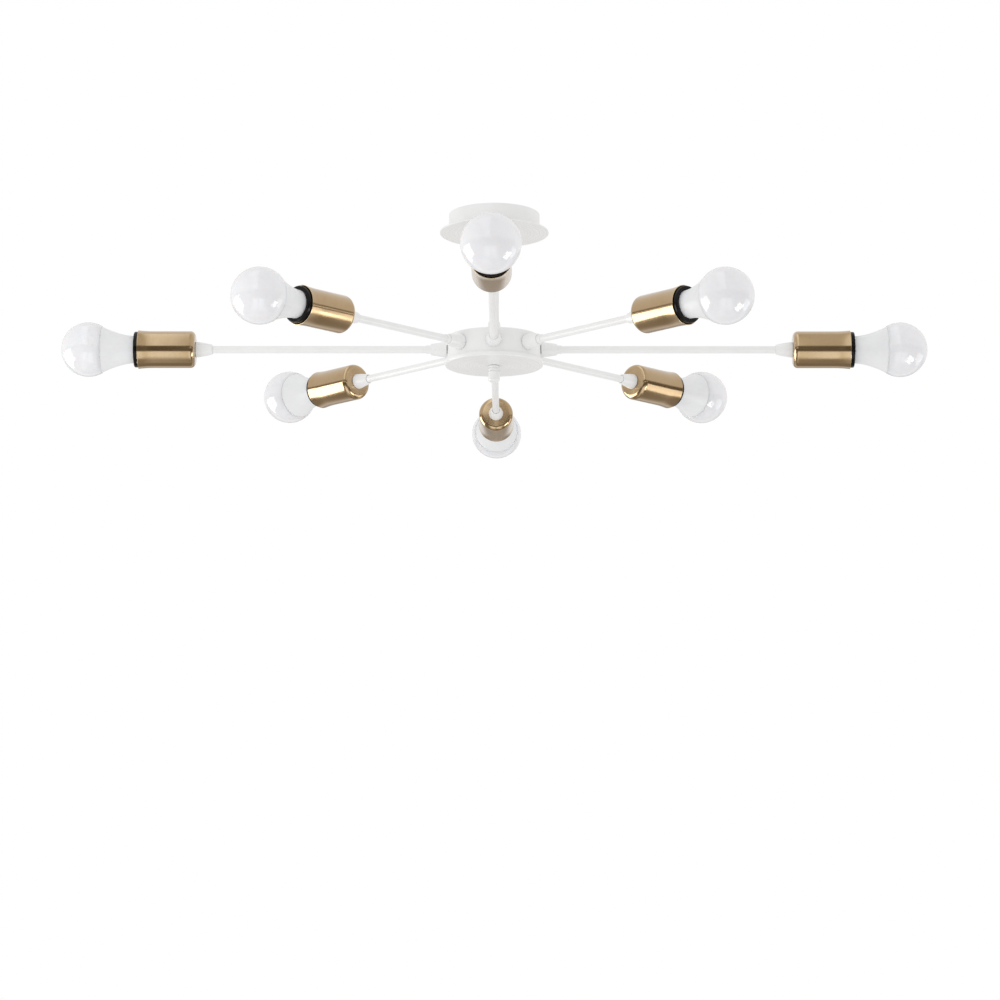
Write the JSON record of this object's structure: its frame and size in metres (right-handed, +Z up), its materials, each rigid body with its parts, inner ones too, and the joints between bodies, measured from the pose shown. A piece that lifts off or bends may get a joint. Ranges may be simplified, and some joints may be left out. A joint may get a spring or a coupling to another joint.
{
  "type": "multi arm chandelier",
  "caption": "Flat starburst ceiling light: long and short straight arms from a round hub, each with a brass cup and a screw-in opal bulb, on a short rod under a disc canopy.",
  "frame": {"origin": "centre of the ceiling bracket's top face, in the plane of the ceiling", "axes": "+Z up into the ceiling, -Y towards the long arm nearest the camera, +X to its right"},
  "size_m": [0.9508, 0.9508, 0.1891],
  "materials": {
    "white_paint": "satin white powder coat on steel tube",
    "white_ferrule": "satin white powder coat on turned steel",
    "canopy_white": "satin white powder coat on spun steel",
    "hub_white": "satin white powder coat on spun steel",
    "brushed_brass": "aged brass, brushed around, polished lip",
    "black_phenolic": "glossy black phenolic",
    "opal_bulb": "opal dome, matt white housing, nickel-plated screw cap",
    "contact_tin": "tinned",
    "zinc_steel": "bright zinc plate",
    "block_nylon": "moulded nylon"
  },
  "bodies": {
    "frame": {"ceiling_bracket": "zinc_steel", "canopy_cup": "canopy_white", "canopy_plate": "canopy_white", "canopy_nut_1": "canopy_white", "canopy_nut_2": "canopy_white", "terminal_block": "block_nylon", "downrod": "white_paint", "rod_top_nut": "zinc_steel", "rod_ferrule": "white_ferrule", "hub_drum": "hub_white", "hub_cover": "hub_white", "finial": "hub_white", "arm_1": "white_paint", "socket_ferrule_1": "white_ferrule", "socket_cup_1": "brushed_brass", "lampholder_1": "black_phenolic", "arm_2": "white_paint", "socket_ferrule_2": "white_ferrule", "socket_cup_2": "brushed_brass", "lampholder_2": "black_phenolic", "arm_3": "white_paint", "socket_ferrule_3": "white_ferrule", "socket_cup_3": "brushed_brass", "lampholder_3": "black_phenolic", "arm_4": "white_paint", "socket_ferrule_4": "white_ferrule", "socket_cup_4": "brushed_brass", "lampholder_4": "black_phenolic", "arm_5": "white_paint", "socket_ferrule_5": "white_ferrule", "socket_cup_5": "brushed_brass", "lampholder_5": "black_phenolic", "arm_6": "white_paint", "socket_ferrule_6": "white_ferrule", "socket_cup_6": "brushed_brass", "lampholder_6": "black_phenolic", "arm_7": "white_paint", "socket_ferrule_7": "white_ferrule", "socket_cup_7": "brushed_brass", "lampholder_7": "black_phenolic", "arm_8": "white_paint", "socket_ferrule_8": "white_ferrule", "socket_cup_8": "brushed_brass", "lampholder_8": "black_phenolic"},
    "bulb_contact_1": {"bulb_contact_1": "contact_tin"},
    "bulb_1": {"bulb_1": "opal_bulb"},
    "bulb_contact_2": {"bulb_contact_2": "contact_tin"},
    "bulb_2": {"bulb_2": "opal_bulb"},
    "bulb_contact_3": {"bulb_contact_3": "contact_tin"},
    "bulb_3": {"bulb_3": "opal_bulb"},
    "bulb_contact_4": {"bulb_contact_4": "contact_tin"},
    "bulb_4": {"bulb_4": "opal_bulb"},
    "bulb_contact_5": {"bulb_contact_5": "contact_tin"},
    "bulb_5": {"bulb_5": "opal_bulb"},
    "bulb_contact_6": {"bulb_contact_6": "contact_tin"},
    "bulb_6": {"bulb_6": "opal_bulb"},
    "bulb_contact_7": {"bulb_contact_7": "contact_tin"},
    "bulb_7": {"bulb_7": "opal_bulb"},
    "bulb_contact_8": {"bulb_contact_8": "contact_tin"},
    "bulb_8": {"bulb_8": "opal_bulb"}
  },
  "joints": [
    {"name": "bulb_1_travel", "type": "slide", "parent": "frame", "child": "bulb_contact_1", "axis": [0, -1, 0], "range_m": [0, 0.02172]},
    {"name": "bulb_1_turn", "type": "hinge", "parent": "bulb_contact_1", "child": "bulb_1", "pos_m": [0, -0.3949, -0.153], "axis": [0, -1, 0], "range_deg": [0, 2160]},
    {"name": "bulb_2_travel", "type": "slide", "parent": "frame", "child": "bulb_contact_2", "axis": [0.7071, -0.7071, 0], "range_m": [0, 0.02172]},
    {"name": "bulb_2_turn", "type": "hinge", "parent": "bulb_contact_2", "child": "bulb_2", "pos_m": [0.20428, -0.20428, -0.153], "axis": [0.7071, -0.7071, 0], "range_deg": [0, 2160]},
    {"name": "bulb_3_travel", "type": "slide", "parent": "frame", "child": "bulb_contact_3", "axis": [1, 0, 0], "range_m": [0, 0.02172]},
    {"name": "bulb_3_turn", "type": "hinge", "parent": "bulb_contact_3", "child": "bulb_3", "pos_m": [0.3949, 0, -0.153], "axis": [1, 0, 0], "range_deg": [0, 2160]},
    {"name": "bulb_4_travel", "type": "slide", "parent": "frame", "child": "bulb_contact_4", "axis": [0.7071, 0.7071, 0], "range_m": [0, 0.02172]},
    {"name": "bulb_4_turn", "type": "hinge", "parent": "bulb_contact_4", "child": "bulb_4", "pos_m": [0.20428, 0.20428, -0.153], "axis": [0.7071, 0.7071, 0], "range_deg": [0, 2160]},
    {"name": "bulb_5_travel", "type": "slide", "parent": "frame", "child": "bulb_contact_5", "axis": [0, 1, 0], "range_m": [0, 0.02172]},
    {"name": "bulb_5_turn", "type": "hinge", "parent": "bulb_contact_5", "child": "bulb_5", "pos_m": [0, 0.3949, -0.153], "axis": [0, 1, 0], "range_deg": [0, 2160]},
    {"name": "bulb_6_travel", "type": "slide", "parent": "frame", "child": "bulb_contact_6", "axis": [-0.7071, 0.7071, 0], "range_m": [0, 0.02172]},
    {"name": "bulb_6_turn", "type": "hinge", "parent": "bulb_contact_6", "child": "bulb_6", "pos_m": [-0.20428, 0.20428, -0.153], "axis": [-0.7071, 0.7071, 0], "range_deg": [0, 2160]},
    {"name": "bulb_7_travel", "type": "slide", "parent": "frame", "child": "bulb_contact_7", "axis": [-1, 0, 0], "range_m": [0, 0.02172]},
    {"name": "bulb_7_turn", "type": "hinge", "parent": "bulb_contact_7", "child": "bulb_7", "pos_m": [-0.3949, 0, -0.153], "axis": [-1, 0, 0], "range_deg": [0, 2160]},
    {"name": "bulb_8_travel", "type": "slide", "parent": "frame", "child": "bulb_contact_8", "axis": [-0.7071, -0.7071, 0], "range_m": [0, 0.02172]},
    {"name": "bulb_8_turn", "type": "hinge", "parent": "bulb_contact_8", "child": "bulb_8", "pos_m": [-0.20428, -0.20428, -0.153], "axis": [-0.7071, -0.7071, 0], "range_deg": [0, 2160]}
  ],
  "couplings": [
    {"joint": "bulb_1_travel", "follows": "bulb_1_turn", "m_per_rad": 0.00057614},
    {"joint": "bulb_2_travel", "follows": "bulb_2_turn", "m_per_rad": 0.00057614},
    {"joint": "bulb_3_travel", "follows": "bulb_3_turn", "m_per_rad": 0.00057614},
    {"joint": "bulb_4_travel", "follows": "bulb_4_turn", "m_per_rad": 0.00057614},
    {"joint": "bulb_5_travel", "follows": "bulb_5_turn", "m_per_rad": 0.00057614},
    {"joint": "bulb_6_travel", "follows": "bulb_6_turn", "m_per_rad": 0.00057614},
    {"joint": "bulb_7_travel", "follows": "bulb_7_turn", "m_per_rad": 0.00057614},
    {"joint": "bulb_8_travel", "follows": "bulb_8_turn", "m_per_rad": 0.00057614}
  ]
}
